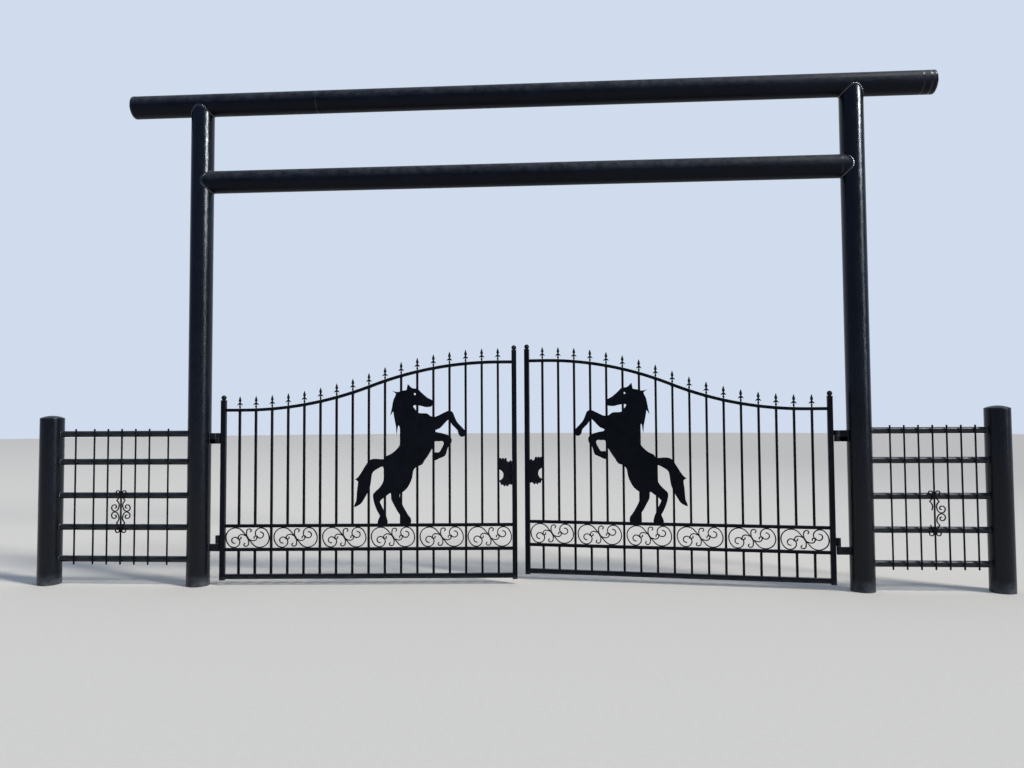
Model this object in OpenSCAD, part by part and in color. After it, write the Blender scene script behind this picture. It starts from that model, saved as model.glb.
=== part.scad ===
// Ranch gateway: a steel pipe portal with a pair of ornamental leaves and a short wing on each side.
// Millimetres. X runs along the gateway, Y away from the viewer, Z up from the ground.
// The origin is the centre of the left tall post's foot.

/* [Portal] */
// Distance between the centre lines of the tall posts
post_spacing = 6315; // [5400:5:7400]
// Outside diameter of the posts, header and cross beam
pipe_d = 219.1; // [168.3:0.1:244.5]
// Wall of those pipes
pipe_wall = 8.2; // [5:0.1:12.7]
// Height of the header's centre line
header_h = 4750; // [4400:10:5400]
// Length of the header past the left post's centre line
header_left = 697; // [300:1:1200]
// Length of the header past the right post's centre line
header_right = 750; // [300:1:1200]
// Height of the cross beam's centre line
cross_beam_h = 3970; // [3000:10:4050]
// Thickness of the plates that close the pipe ends
end_plate = 8; // [5:1:15]

/* [Wings] */
// Length of the left wing, post centre to post centre
left_wing_l = 1510; // [1200:10:1900]
// Length of the right wing, post centre to post centre
right_wing_l = 1243; // [1150:1:1600]
// Outside diameter of the end posts
end_post_d = 219.1; // [114.3:0.1:244.5]
// Height of the left end post, without its cap
left_end_post_h = 1626; // [1575:1:2000]
// Height of the right end post, without its cap
right_end_post_h = 1668; // [1575:1:2000]
// Rise of the domed caps on the end posts
cap_rise = 25; // [10:1:50]
// Outside diameter of the wing rails
rail_d = 60.3; // [42.4:0.1:76.1]
// Wall of the wing rails
rail_wall = 3.9; // [2:0.1:6]
// Heights of the wing rails' centre lines
rail_heights = [250, 560, 870, 1200, 1475];
// Side of the wing pickets' square bar
wing_bar = 13; // [10:1:25]
// Length of a wing picket past the outermost rails' centre lines
wing_bar_past = 50; // [40:1:70]
// Distance between the left wing's inner pickets
left_wing_pitch = 140; // [110:1:145]
// Distance between the right wing's pickets
right_wing_pitch = 127; // [110:1:135]
// Distance from the left wing's inner pickets to the one at each side
left_wing_side = 191; // [160:1:205]
// How far the left wing's pickets stand right of its middle
left_wing_offset = -13; // [-40:1:40]
// How far the right wing's pickets stand right of its middle
right_wing_offset = 21; // [-40:1:40]

/* [Leaves] */
// Swing of the left leaf away from closed, as it stands
left_ajar = 3.4; // [0:0.1:20]
// Swing of the right leaf away from closed, as it stands
right_ajar = 7.9; // [0:0.1:20]
// Side of the stiles' square tube
stile_w = 48; // [38:1:60]
// Wall of the stiles and the bottom rail
tube_wall = 3; // [2:0.5:5]
// Gap between the meeting stiles when both leaves are closed
meeting_gap = 35; // [15:1:60]
// How far the leaves meet left of the middle
meeting_offset = 22; // [0:1:40]
// Height of the stiles' feet above the ground
leaf_clearance = 50; // [30:1:120]
// Height of the hinge stile's top, without its cap
hinge_stile_top = 1793; // [1760:1:1900]
// Height of the left meeting stile's top, without its cap
left_meeting_top = 2270; // [2230:1:2500]
// Height of the right meeting stile's top, without its cap
right_meeting_top = 2298; // [2230:1:2500]
// Side of the top rail and of the two band rails
rail_bar = 30; // [20:1:35]
// Height of the left top rail's centre line at the hinge stile
left_rail_low = 1702; // [1650:1:1740]
// Height of the left top rail's centre line at the meeting stile
left_rail_high = 2161; // [2100:1:2200]
// Height of the right top rail's centre line at the hinge stile
right_rail_low = 1681; // [1650:1:1740]
// Height of the right top rail's centre line at the meeting stile
right_rail_high = 2186; // [2100:1:2220]
// Height of the upper band rail's centre line
upper_band_h = 573; // [560:1:590]
// Height of the lower band rail's centre line
lower_band_h = 344; // [320:1:350]
// Height of the bottom rail's centre line
bottom_rail_h = 84; // [75:1:120]
// Side of the bottom rail's square tube
bottom_rail_w = 45; // [30:1:48]
// Side of the pickets' square bar
picket_w = 22; // [14:1:26]
// Least distance between the pickets' centre lines
picket_pitch = 155; // [150:1:165]

/* [Ornaments] */
// Side of the square bar that the scrolls are bent from
scroll_bar = 10; // [6:1:12]
// Gap beside a scroll panel in a leaf's end bays, between the stile and the picket
scroll_gap = 4; // [2:0.5:20]
// How far ties and collars stand proud of the bars that they hold
tie_proud = 2; // [1:0.5:4]
// Height of the finials above the top rail
finial_h = 125; // [80:1:160]
// Diameter of the ball on a stile cap
ball_d = 50; // [25:1:60]
// Thickness of the horse plates
horse_t = 6; // [3:1:10]
// Height of the horse from hoof to ear
horse_h = 1359; // [1100:1:1400]
// Thickness of the lock plates
lock_t = 8; // [4:1:12]
// Height of the lock plates' middle
lock_h = 1082; // [1000:1:1300]
// Height of the lock plates
lock_plate_h = 277; // [200:1:320]

/* [Hinges] */
// Gap between the left tall post and its hinge stile
left_hinge_gap = 108; // [100:1:150]
// Gap between the right tall post and its hinge stile
right_hinge_gap = 126; // [100:1:150]
// Diameter of the hinge barrels
barrel_d = 40; // [34:1:48]
// Length of one half of a lower hinge's barrel
lower_barrel_l = 76; // [60:1:110]
// Length of one half of an upper hinge's barrel
upper_barrel_l = 52; // [40:1:80]
// Diameter of the hinge pins
pin_d = 18; // [12:1:24]
// Height of the lower hinge's foot
lower_hinge_h = 330; // [300:5:360]
// Height of the upper hinge's foot
upper_hinge_h = 1375; // [1200:5:1500]

/* [Hidden] */
$fn = 96;
paint = "#15171b";

// Clearance of a coped end or a tangent piece from the piece that carries it
seat = 0.2;
// Length cut off the feather edge of a saddle between two pipes of one size
horn_trim = 36;
pipe_r = pipe_d / 2;
end_post_r = end_post_d / 2;
rail_r = rail_d / 2;

// Room between a barrel and the stile, filled by the tab on the moving half
barrel_room = 6;
// Below, a pair of values is the left leaf's and the right leaf's
axis_x = [for (gap = [left_hinge_gap, right_hinge_gap]) pipe_r + gap - barrel_room - barrel_d / 2];
axis_to_stile = barrel_d / 2 + barrel_room + stile_w / 2;

// A wing ornament, from its middle: the barb's place and height, the rings' middle, the collar's height
barb_x = 42.7;
barb_h = 107;
ring_x = 60.5;
collar_h = 152;

// Distance between the centre lines of a leaf's stiles, and its bays
leaf_w = [for (i = [0, 1])
    (post_spacing - meeting_gap - stile_w) / 2 + [-1, 1][i] * meeting_offset - axis_x[i] - axis_to_stile];
panels = floor(min(leaf_w) / (3 * picket_pitch));
bays = 3 * panels;
bay = leaf_w / bays;
meeting_stile_top = [left_meeting_top, right_meeting_top];

// Top rail: level, then two equal arcs that meet halfway up, then level again
rail_low = [left_rail_low, right_rail_low];
rail_high = [left_rail_high, right_rail_high];
sweep_from = 1.25 * bay;
sweep_to = leaf_w - bay;
sweep_half = (sweep_to - sweep_from) / 2;
sweep_r = [for (i = [0, 1]) (pow(sweep_half[i], 2) + pow((rail_high[i] - rail_low[i]) / 2, 2)) / (rail_high[i] - rail_low[i])];

// A tube of the main pipe along +Z
module pipe(d, wall, length) {
    difference() {
        cylinder(d = d, h = length);
        translate([0, 0, -1]) cylinder(d = d - 2 * wall, h = length + 2);
    }
}

// What a coped end is cut with: a cylinder just wider than the pipe it lands on
module cope(d, length) {
    cylinder(d = d + 2 * seat, h = length, center = true);
}

// A tall post: closed at the foot and saddled under the header, its thin horns trimmed off
module tall_post() {
    color(paint)
    difference() {
        cylinder(d = pipe_d, h = header_h - horn_trim);
        translate([0, 0, end_plate]) cylinder(d = pipe_d - 2 * pipe_wall, h = header_h);
        translate([0, 0, header_h]) rotate([0, 90, 0]) cope(pipe_d, 2 * pipe_d);
    }
}

// The header lies on both posts and runs past them
module header_beam() {
    length = post_spacing + header_left + header_right;
    color(paint)
    translate([-header_left, 0, header_h]) rotate([0, 90, 0]) pipe(pipe_d, pipe_wall, length);
}

// Flat plates that close the header's ends
module header_end_caps() {
    color(paint)
    for (x = [-header_left - end_plate, post_spacing + header_right])
        translate([x, 0, header_h]) rotate([0, 90, 0]) cylinder(d = pipe_d, h = end_plate);
}

// The cross beam's ends are cut to fit round the posts, their thin horns trimmed off
module cross_beam() {
    length = post_spacing - 2 * horn_trim;
    color(paint)
    difference() {
        translate([horn_trim, 0, cross_beam_h]) rotate([0, 90, 0]) pipe(pipe_d, pipe_wall, length);
        for (x = [0, post_spacing])
            translate([x, 0, cross_beam_h]) cope(pipe_d, 2 * pipe_d);
    }
}

// A short post that ends a wing
module end_post(x, h) {
    color(paint)
    translate([x, 0, 0])
    difference() {
        cylinder(d = end_post_d, h = h);
        translate([0, 0, end_plate]) cylinder(d = end_post_d - 2 * pipe_wall, h = h);
    }
}

// Its cap: a shallow dome on a short rim
module end_post_cap(x, h) {
    rim = end_plate;
    dome_r = (pow(end_post_r, 2) + pow(cap_rise, 2)) / (2 * cap_rise);
    color(paint)
    translate([x, 0, h]) {
        intersection() {
            cylinder(r = end_post_r, h = rim + cap_rise);
            translate([0, 0, rim + cap_rise - dome_r]) sphere(r = dome_r, $fn = 128);
        }
    }
}

// Five pipe rails from a tall post to an end post, coped at both ends
module wing_rails(from_x, to_x) {
    length = to_x - from_x;
    left_d = from_x < 0 ? end_post_d : pipe_d;
    right_d = from_x < 0 ? pipe_d : end_post_d;
    color(paint)
    for (h = rail_heights)
        difference() {
            translate([from_x, 0, h]) rotate([0, 90, 0]) pipe(rail_d, rail_wall, length);
            translate([from_x, 0, h]) cope(left_d, 2 * rail_d);
            translate([to_x, 0, h]) cope(right_d, 2 * rail_d);
        }
}

// One wing picket on the front of the rails
module wing_picket(x) {
    low = rail_heights[0] - wing_bar_past;
    high = rail_heights[len(rail_heights) - 1] + wing_bar_past;
    translate([x - wing_bar / 2, -rail_r - seat - wing_bar, low])
        cube([wing_bar, wing_bar, high - low]);
}

// The middle pickets of the wings
left_middle = left_wing_offset - left_wing_l / 2;
right_middle = post_spacing + right_wing_l / 2 + right_wing_offset;

// Places along a wing, from its middle picket: the inner pickets, then one at each side
function left_places() =
    [for (i = [-3:3]) abs(i) < 3 ? i * left_wing_pitch : sign(i) * (2 * left_wing_pitch + left_wing_side)];
function right_places() = [for (i = [-3:3]) i * right_wing_pitch];

module wing_pickets(middle, places) {
    color(paint)
    for (p = places) wing_picket(middle + p);
}

// Points along a chain of bends, each given as [radius, turn]: [x, y, heading] every few degrees.
// A positive turn bends left. The chain starts at the given point and heading.
function bend_end(p, r, turn) =
    [p[0] + sign(turn) * r * (sin(p[2] + turn) - sin(p[2])),
     p[1] - sign(turn) * r * (cos(p[2] + turn) - cos(p[2])),
     p[2] + turn];
function bent_path(start, steps, i = 0) =
    i == len(steps) ? [start] :
    let (r = steps[i][0], turn = steps[i][1], n = ceil(abs(turn) / 15))
    concat([for (k = [0:n - 1]) bend_end(start, r, turn * k / n)],
           bent_path(bend_end(start, r, turn), steps, i + 1));

// The same chain with its radii scaled
function scaled(steps, k) = [for (s = steps) [k * s[0], s[1]]];

// A flat bar of the given width and thickness, bent along such a chain in the XY plane. The chain is
// stretched along X, the bar's width is not.
module bent_bar(start, steps, w, t, stretch = 1) {
    path = [for (p = bent_path(start, steps)) [stretch * p[0], p[1], atan2(sin(p[2]), stretch * cos(p[2]))]];
    side = [for (s = [1, -1]) [for (p = path) [p[0] - s * w / 2 * sin(p[2]), p[1] + s * w / 2 * cos(p[2])]]];
    back = [for (i = [len(path) - 1:-1:0]) side[1][i]];
    linear_extrude(height = t, center = true) polygon(concat(side[0], back));
}

// Half of the scroll panel, drawn in the XY plane round the panel's centre, at scale k and stretched along X.
// At scale 1 the outermost bar's centre line is scroll_reach from the panel's centre.
scroll_reach = 206.5;
module half_scroll(k, stretch) {
    big = [[1200, 3], [84, 50], [91, 90], [124, 40], [65, 50], [54, 90], [47, 90], [31, 90], [29, 100]];
    arch = [[80, 30], [32, 100], [13, 170], [45, 16]];
    curl = [[120, -22], [24, -105], [15, -140]];
    bent_bar([-12 * k, 18 * k, 127], scaled(big, k), scroll_bar, scroll_bar, stretch);
    bent_bar([-15 * k, 17 * k, 145], scaled(arch, k), scroll_bar, scroll_bar, stretch);
    bent_bar([-9 * k, 22 * k, 100], scaled(curl, k), scroll_bar, scroll_bar, stretch);
    translate([-91 * k * stretch, -9 * k, 0]) cylinder(d = 20 * k, h = scroll_bar + 2 * tie_proud, center = true);
}

// One panel of the scroll band: two halves about a tied centre
module scroll_panel(k, stretch) {
    half_scroll(k, stretch);
    rotate([0, 0, 180]) half_scroll(k, stretch);
    rotate([0, 0, 120]) cube([48 * k, 16 * k, scroll_bar + 2 * tie_proud], center = true);
}

// One quarter of a wing's ornament, right of the picket and above its middle: a C scroll from the
// barb down and round, and a leg from the barb up past the collar to a small curl
module wing_c_scroll(k, whole) {
    fall = [[53, 58], [78, 26]];
    ring = [[78, 4], [37.5, 60], [33, 90], [29, 90], [20, 90], [12, 120]];
    bent_bar([barb_x * k, barb_h * k, 212], scaled(whole ? concat(fall, ring) : fall, k), scroll_bar, scroll_bar);
}
module wing_leg(k) {
    leg = [[300, -8], [22, -36], [400, -5], [19, -190], [10, -110]];
    bent_bar([barb_x * k, barb_h * k, 134], scaled(leg, k), scroll_bar, scroll_bar);
}

// The collar that ties both legs to the picket, open at the back
module wing_collar(k) {
    tall = 14;
    across = wing_bar + 2 * scroll_bar + 2 * tie_proud;
    difference() {
        translate([-across / 2, collar_h * k - tall / 2, -scroll_bar / 2])
            cube([across, tall, scroll_bar / 2 + wing_bar / 2 + tie_proud]);
        translate([-wing_bar / 2 - seat, 0, -wing_bar])
            cube([wing_bar + 2 * seat, 2 * collar_h * k, wing_bar * 1.5 + seat]);
    }
}

// The ornament on a wing's middle picket: four quarters, and a tie where the rings of a side meet.
// On the right wing the scrolls on the tall post's side are broken off.
module wing_scroll(middle, broken) {
    y = -rail_r - seat - wing_bar / 2;
    z = (rail_heights[1] + rail_heights[2]) / 2;
    k = (rail_heights[2] - rail_heights[1]) / 310;
    color(paint)
    translate([middle, y, z]) rotate([90, 0, 0]) {
        for (m = [0, 1]) mirror([m, 0, 0]) {
            cut = broken && m == 1;
            wing_c_scroll(k, !cut);
            if (!cut) mirror([0, 1, 0]) wing_c_scroll(k, true);
            if (!cut) translate([ring_x * k, 0, 0]) cube([14, 14, scroll_bar + 2 * tie_proud], center = true);
            for (n = [0, 1]) mirror([0, n, 0]) wing_leg(k);
        }
        for (n = [0, 1]) mirror([0, n, 0]) wing_collar(k);
    }
}

// Puts a piece, drawn from its hinge stile's centre line, on the left or the right leaf
module on_left_leaf() {
    translate([axis_x[0], 0, 0]) rotate([0, 0, left_ajar]) translate([axis_to_stile, 0, 0]) children();
}
module on_right_leaf() {
    translate([post_spacing, 0, 0]) mirror([1, 0, 0])
        translate([axis_x[1], 0, 0]) rotate([0, 0, right_ajar]) translate([axis_to_stile, 0, 0]) children();
}

// A square tube along +Z from one height to another
module square_tube(w, wall, low, high) {
    translate([0, 0, (low + high) / 2])
    difference() {
        cube([w, w, high - low], center = true);
        cube([w - 2 * wall, w - 2 * wall, high - low + 2], center = true);
    }
}

module hinge_stile() {
    color(paint) square_tube(stile_w, tube_wall, leaf_clearance, hinge_stile_top);
}

module meeting_stile(i) {
    color(paint) translate([leaf_w[i], 0, 0]) square_tube(stile_w, tube_wall, leaf_clearance, meeting_stile_top[i]);
}

// A stile's cap: a square foot, a short neck and a ball
module stile_cap() {
    foot = 6;
    lip = 2;
    translate([0, 0, foot / 2]) cube([stile_w + 2 * lip, stile_w + 2 * lip, foot], center = true);
    translate([0, 0, foot]) cylinder(d1 = 0.75 * ball_d, d2 = 0.5 * ball_d, h = 0.15 * ball_d);
    translate([0, 0, foot + ball_d / 2]) sphere(d = ball_d, $fn = 48);
}

module stile_caps(i) {
    color(paint) {
        translate([0, 0, hinge_stile_top]) stile_cap();
        translate([leaf_w[i], 0, meeting_stile_top[i]]) stile_cap();
    }
}

// Height and slope of a top rail's centre line at a distance from the hinge stile
function rail_z(i, u) =
    u <= sweep_from[i] ? rail_low[i] :
    u <= sweep_from[i] + sweep_half[i] ? rail_low[i] + sweep_r[i] - sqrt(pow(sweep_r[i], 2) - pow(u - sweep_from[i], 2)) :
    u <= sweep_to[i] ? rail_high[i] - sweep_r[i] + sqrt(pow(sweep_r[i], 2) - pow(sweep_to[i] - u, 2)) :
    rail_high[i];
function rail_slope(i, u) =
    u <= sweep_from[i] || u >= sweep_to[i] ? 0 :
    u <= sweep_from[i] + sweep_half[i] ? asin((u - sweep_from[i]) / sweep_r[i]) : asin((sweep_to[i] - u) / sweep_r[i]);

// The top rail: a square bar along its level ends and two arcs
module top_rail(i) {
    face = stile_w / 2;
    places = concat([face], [for (n = [0:80]) sweep_from[i] + n * sweep_half[i] / 40], [leaf_w[i] - face]);
    side = [for (s = [1, -1]) [for (u = places)
        [u - s * rail_bar / 2 * sin(rail_slope(i, u)), rail_z(i, u) + s * rail_bar / 2 * cos(rail_slope(i, u))]]];
    back = [for (n = [len(places) - 1:-1:0]) side[1][n]];
    color(paint)
    rotate([90, 0, 0]) linear_extrude(height = rail_bar, center = true) polygon(concat(side[0], back));
}

// A level bar from stile to stile
module level_bar(i, w, h) {
    face = stile_w / 2;
    translate([face, -w / 2, h - w / 2]) cube([leaf_w[i] - 2 * face, w, w]);
}

module band_rails(i) {
    color(paint) {
        level_bar(i, rail_bar, upper_band_h);
        level_bar(i, rail_bar, lower_band_h);
    }
}

module bottom_rail(i) {
    face = stile_w / 2;
    color(paint)
    difference() {
        level_bar(i, bottom_rail_w, bottom_rail_h);
        translate([face - 1, 0, 0]) translate([0, tube_wall - bottom_rail_w / 2, bottom_rail_h - bottom_rail_w / 2 + tube_wall])
            cube([leaf_w[i] - 2 * face + 2, bottom_rail_w - 2 * tube_wall, bottom_rail_w - 2 * tube_wall]);
    }
}

// A picket from the upper band rail to the sloping underside of the top rail
module picket(i, u) {
    low = upper_band_h + rail_bar / 2;
    difference() {
        translate([u - picket_w / 2, -picket_w / 2, low]) cube([picket_w, picket_w, rail_z(i, u) - low]);
        translate([u, 0, rail_z(i, u)]) rotate([0, -rail_slope(i, u), 0])
            translate([-picket_w, -picket_w, -rail_bar / 2 - seat]) cube([2 * picket_w, 2 * picket_w, 2 * rail_bar]);
    }
}

module pickets(i) {
    color(paint) for (n = [1:bays - 1]) picket(i, n * bay[i]);
}

// Short pickets under the band, and every third one carried on up through it
module lower_pickets(i) {
    foot = bottom_rail_h + bottom_rail_w / 2;
    color(paint) {
        for (n = [1:bays - 1])
            translate([n * bay[i] - picket_w / 2, -picket_w / 2, foot])
                cube([picket_w, picket_w, lower_band_h - rail_bar / 2 - foot]);
        for (n = [1:panels - 1])
            translate([3 * n * bay[i] - picket_w / 2, -picket_w / 2, lower_band_h + rail_bar / 2])
                cube([picket_w, picket_w, upper_band_h - lower_band_h - rail_bar]);
    }
}

// A spear finial, from the top rail's centre line up: a bead, a neck with two drooping barbs, a blade
module finial(slope) {
    base = rail_bar / 2;
    k = finial_h / 125;
    difference() {
        translate([0, 0, base]) {
            rotate_extrude()
                polygon([[0, -4], [6, -4], [6, 8 * k], [9, 12 * k], [10, 18 * k], [9, 24 * k], [6, 28 * k],
                         [6, 56 * k], [8, 64 * k], [8, 80 * k], [0, 125 * k]]);
            rotate([90, 0, 0]) {
                linear_extrude(height = 10, center = true)
                    for (m = [0, 1]) mirror([m, 0, 0])
                        polygon([[0, 31 * k], [0, 60 * k], [8, 57 * k], [15, 52 * k], [22, 44 * k], [27, 36 * k],
                                 [27, 31 * k], [21, 34 * k], [15, 38 * k], [9, 38 * k], [5, 33 * k]]);
                linear_extrude(height = 9, center = true)
                    polygon([[-7, 58 * k], [7, 58 * k], [9, 66 * k], [13, 73 * k], [14.5, 80 * k], [12, 90 * k],
                             [7, 106 * k], [0, 124 * k], [-7, 106 * k], [-12, 90 * k], [-14.5, 80 * k],
                             [-13, 73 * k], [-9, 66 * k]]);
            }
        }
        rotate([0, -slope, 0]) translate([-20, -20, -rail_bar]) cube([40, 40, rail_bar * 1.5 + seat]);
    }
}

module finials(i) {
    color(paint)
    for (n = [1:bays - 1])
        translate([n * bay[i], 0, rail_z(i, n * bay[i])]) finial(rail_slope(i, n * bay[i]));
}

// A scroll panel in each three bays, turned over on the right leaf. The end ones sit midway between the
// picket and the wider stile.
module scrolls(i) {
    clear = upper_band_h - lower_band_h - rail_bar;
    k = (clear - scroll_bar - 2 * seat) / 194;
    half_room = (3 * bay[i] - (stile_w + picket_w) / 2 - scroll_bar) / 2 - scroll_gap;
    off_stile = (stile_w - picket_w) / 4;
    color(paint)
    for (n = [0:panels - 1]) {
        off_middle = (n == 0 ? 1 : n == panels - 1 ? -1 : 0) * off_stile;
        translate([(3 * n + 1.5) * bay[i] + off_middle, 0, (upper_band_h + lower_band_h) / 2])
            rotate([90, 0, 0]) mirror([i, 0, 0]) scroll_panel(k, half_room / (k * scroll_reach));
    }
}

// Points of a closed curve through the given ones
function curve_point(a, b, c, d, t) =
    0.5 * (2 * b + (c - a) * t + (2 * a - 5 * b + 4 * c - d) * t * t + (3 * b - a - 3 * c + d) * t * t * t);
function closed_curve(p, steps) =
    [for (i = [0:len(p) - 1], s = [0:steps - 1])
        curve_point(p[(i + len(p) - 1) % len(p)], p[i], p[(i + 1) % len(p)], p[(i + 2) % len(p)], s / steps)];

// Outline of the rearing horse, from the raised hoof's tip and the hind hooves' soles
horse_head = [[-568, 1359], [-544, 1337], [-519, 1319], [-485, 1315], [-462, 1307], [-440, 1283], [-376, 1227],
              [-328, 1202], [-318, 1184], [-326, 1164], [-335, 1139], [-362, 1134], [-398, 1134], [-436, 1145],
              [-476, 1150], [-508, 1151], [-512, 1136], [-494, 1112], [-478, 1090], [-462, 1076]];
horse_fore_high = [[-409, 1073], [-376, 1070], [-338, 1043], [-294, 1040], [-251, 1059], [-180, 1093], [-153, 1096],
                   [-128, 1083], [-114, 1055], [-90, 996], [-53, 952], [-12, 909], [0, 889], [-9, 850], [-44, 840],
                   [-71, 868], [-81, 906], [-131, 957], [-161, 1002], [-181, 1000], [-213, 966], [-254, 925],
                   [-295, 907]];
horse_fore_low = [[-289, 889], [-246, 881], [-205, 869], [-162, 852], [-138, 821], [-142, 779], [-173, 741],
                  [-192, 676], [-209, 652], [-252, 634], [-299, 612], [-317, 628], [-309, 690], [-265, 689],
                  [-238, 725], [-214, 777], [-230, 800], [-268, 797], [-303, 796]];
horse_belly = [[-318, 745], [-342, 704], [-374, 651], [-400, 616], [-427, 572], [-468, 557], [-502, 532],
               [-515, 502], [-524, 446], [-547, 387], [-582, 333], [-630, 296], [-647, 287]];
horse_hind_near = [[-644, 246], [-620, 186], [-588, 126], [-557, 75], [-537, 48], [-542, -8], [-636, -8], [-636, 44],
                   [-639, 78], [-665, 115], [-701, 182], [-729, 238], [-733, 298]];
horse_hind_far = [[-769, 275], [-805, 248], [-838, 218], [-831, 191], [-806, 140], [-783, 86], [-768, 45],
                  [-768, -8], [-857, -8], [-854, 42], [-839, 77], [-860, 114], [-888, 180], [-905, 247], [-902, 293],
                  [-857, 336], [-820, 381], [-803, 426], [-799, 493], [-808, 551]];
horse_tail = [[-829, 551], [-880, 523], [-913, 493], [-923, 441], [-934, 366], [-962, 299], [-994, 240],
              [-1031, 189], [-1093, 164], [-1070, 225], [-1062, 330], [-1053, 412], [-1084, 430], [-1066, 442],
              [-1038, 473], [-1002, 530], [-957, 600], [-925, 625], [-878, 631], [-814, 626], [-788, 635]];
horse_back = [[-780, 654], [-754, 668], [-721, 684], [-676, 722], [-648, 760], [-634, 803], [-631, 858], [-639, 912],
              [-657, 958], [-667, 923], [-676, 863], [-682, 939], [-694, 999], [-706, 1064], [-710, 1092],
              [-738, 1051], [-726, 1108], [-716, 1168], [-704, 1217], [-683, 1265], [-721, 1295], [-691, 1286],
              [-660, 1284], [-612, 1298], [-579, 1304]];
horse_eye = [-497, 1261];
horse_eye_d = 20;
horse_outline = concat(horse_head, horse_fore_high, horse_fore_low, horse_belly, horse_hind_near,
                       horse_hind_far, horse_tail, horse_back);

// The plate is welded to the front of the pickets and stands on the upper band rail, with the tip
// of its raised hoof on the third picket from the meeting stile
module horse(i) {
    k = horse_h / horse_head[0][1];
    color(paint)
    translate([(bays - 3) * bay[i], -picket_w / 2, upper_band_h + rail_bar / 2 + seat])
        rotate([90, 0, 0]) linear_extrude(height = horse_t)
            difference() {
                polygon(k * closed_curve(horse_outline, 2));
                translate(k * horse_eye) circle(d = k * horse_eye_d);
                translate([-horse_h, -horse_h]) square([horse_h, horse_h]);
            }
}

// A scalloped plate between the last picket and the meeting stile, with a D-shaped hand hole.
// Its outline, and the lobes along it, are given in 1/128 of its width and 1/277 of its height.
module lock_plate(i) {
    right = leaf_w[i] - stile_w / 2 - seat;
    left = (bays - 1) * bay[i] + picket_w / 2 + seat;
    kx = (right - left) / 128;
    ky = lock_plate_h / 277;
    outline = [[0, -92], [0, 126], [72, 126], [78, 110], [92, 99], [128, 104],
               [128, -116], [108, -117], [98, -124], [40, -126], [14, -112]];
    lobes = [[8, 126], [35, 126], [62, 126], [113, 102], [22, -113], [50, -126], [79, -126], [120, -113]];
    color(paint)
    translate([left, lock_t / 2, lock_h]) rotate([90, 0, 0])
        difference() {
            intersection() {
                translate([0, -lock_plate_h, 0]) cube([right - left, 2 * lock_plate_h, lock_t]);
                union() {
                    linear_extrude(height = lock_t) polygon([for (p = outline) [kx * p[0], ky * p[1]]]);
                    for (p = lobes) translate([kx * p[0], ky * p[1], 0]) cylinder(r = 12.5 * kx, h = lock_t);
                }
            }
            translate([-18 * kx, -28 * ky, -1]) cylinder(r = 58 * kx, h = lock_t + 2);
        }
}

// The fixed half of one hinge: an arm from the post, a barrel and its pin
module hinge_bracket(axis, h, half) {
    arm_w = 0.9 * barrel_d;
    tip = barrel_room;
    difference() {
        union() {
            translate([0, -arm_w / 2, h]) cube([axis, arm_w, 0.9 * half]);
            translate([axis, 0, h]) cylinder(d = barrel_d, h = half);
            if (half < lower_barrel_l)
                translate([0, -arm_w / 2, h]) cube([axis - barrel_d / 2 - barrel_room, arm_w, 2 * half]);
        }
        translate([0, 0, h]) cope(pipe_d, 6 * half);
    }
    translate([axis, 0, h]) cylinder(d = pin_d, h = 2 * half - 2 * tip);
}

// The lower hinge has a low arm, the upper one a block as high as both barrels
module hinge_brackets(i) {
    color(paint) {
        hinge_bracket(axis_x[i], lower_hinge_h, lower_barrel_l);
        hinge_bracket(axis_x[i], upper_hinge_h, upper_barrel_l);
    }
}

// The moving half: a barrel that turns on the pin, with a tab on the stile's side
module hinge_barrel(h, half) {
    lift = 1.5;
    crown = 6;
    tab = 12;
    translate([-axis_to_stile, 0, h + half + lift])
        difference() {
            union() {
                cylinder(d = barrel_d, h = half - lift);
                translate([0, -tab / 2, 0]) cube([axis_to_stile - stile_w / 2, tab, half - lift]);
            }
            translate([0, 0, -1]) cylinder(d = pin_d + 0.1, h = half - lift - crown);
        }
}

module hinge_barrels() {
    color(paint) {
        hinge_barrel(lower_hinge_h, lower_barrel_l);
        hinge_barrel(upper_hinge_h, upper_barrel_l);
    }
}

tall_post();  // left_post
translate([post_spacing, 0, 0]) tall_post();  // right_post
header_beam();
header_end_caps();
cross_beam();
end_post(-left_wing_l, left_end_post_h);  // left_end_post
end_post(post_spacing + right_wing_l, right_end_post_h);  // right_end_post
end_post_cap(-left_wing_l, left_end_post_h);  // left_end_post_cap
end_post_cap(post_spacing + right_wing_l, right_end_post_h);  // right_end_post_cap
wing_rails(-left_wing_l, 0);  // left_wing_rails
wing_rails(post_spacing, post_spacing + right_wing_l);  // right_wing_rails
wing_pickets(left_middle, left_places());  // left_wing_pickets
wing_pickets(right_middle, right_places());  // right_wing_pickets
wing_scroll(left_middle, false);  // left_wing_scroll
wing_scroll(right_middle, true);  // right_wing_scroll
hinge_brackets(0);  // left_hinge_brackets
translate([post_spacing, 0, 0]) mirror([1, 0, 0]) hinge_brackets(1);  // right_hinge_brackets
on_left_leaf() hinge_stile();  // left_hinge_stile
on_left_leaf() meeting_stile(0);  // left_meeting_stile
on_left_leaf() stile_caps(0);  // left_stile_caps
on_left_leaf() top_rail(0);  // left_top_rail
on_left_leaf() band_rails(0);  // left_band_rails
on_left_leaf() bottom_rail(0);  // left_bottom_rail
on_left_leaf() pickets(0);  // left_pickets
on_left_leaf() lower_pickets(0);  // left_lower_pickets
on_left_leaf() finials(0);  // left_finials
on_left_leaf() scrolls(0);  // left_scrolls
on_left_leaf() horse(0);  // left_horse
on_left_leaf() lock_plate(0);  // left_lock_plate
on_left_leaf() hinge_barrels();  // left_hinge_barrels
on_right_leaf() hinge_stile();  // right_hinge_stile
on_right_leaf() meeting_stile(1);  // right_meeting_stile
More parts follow.
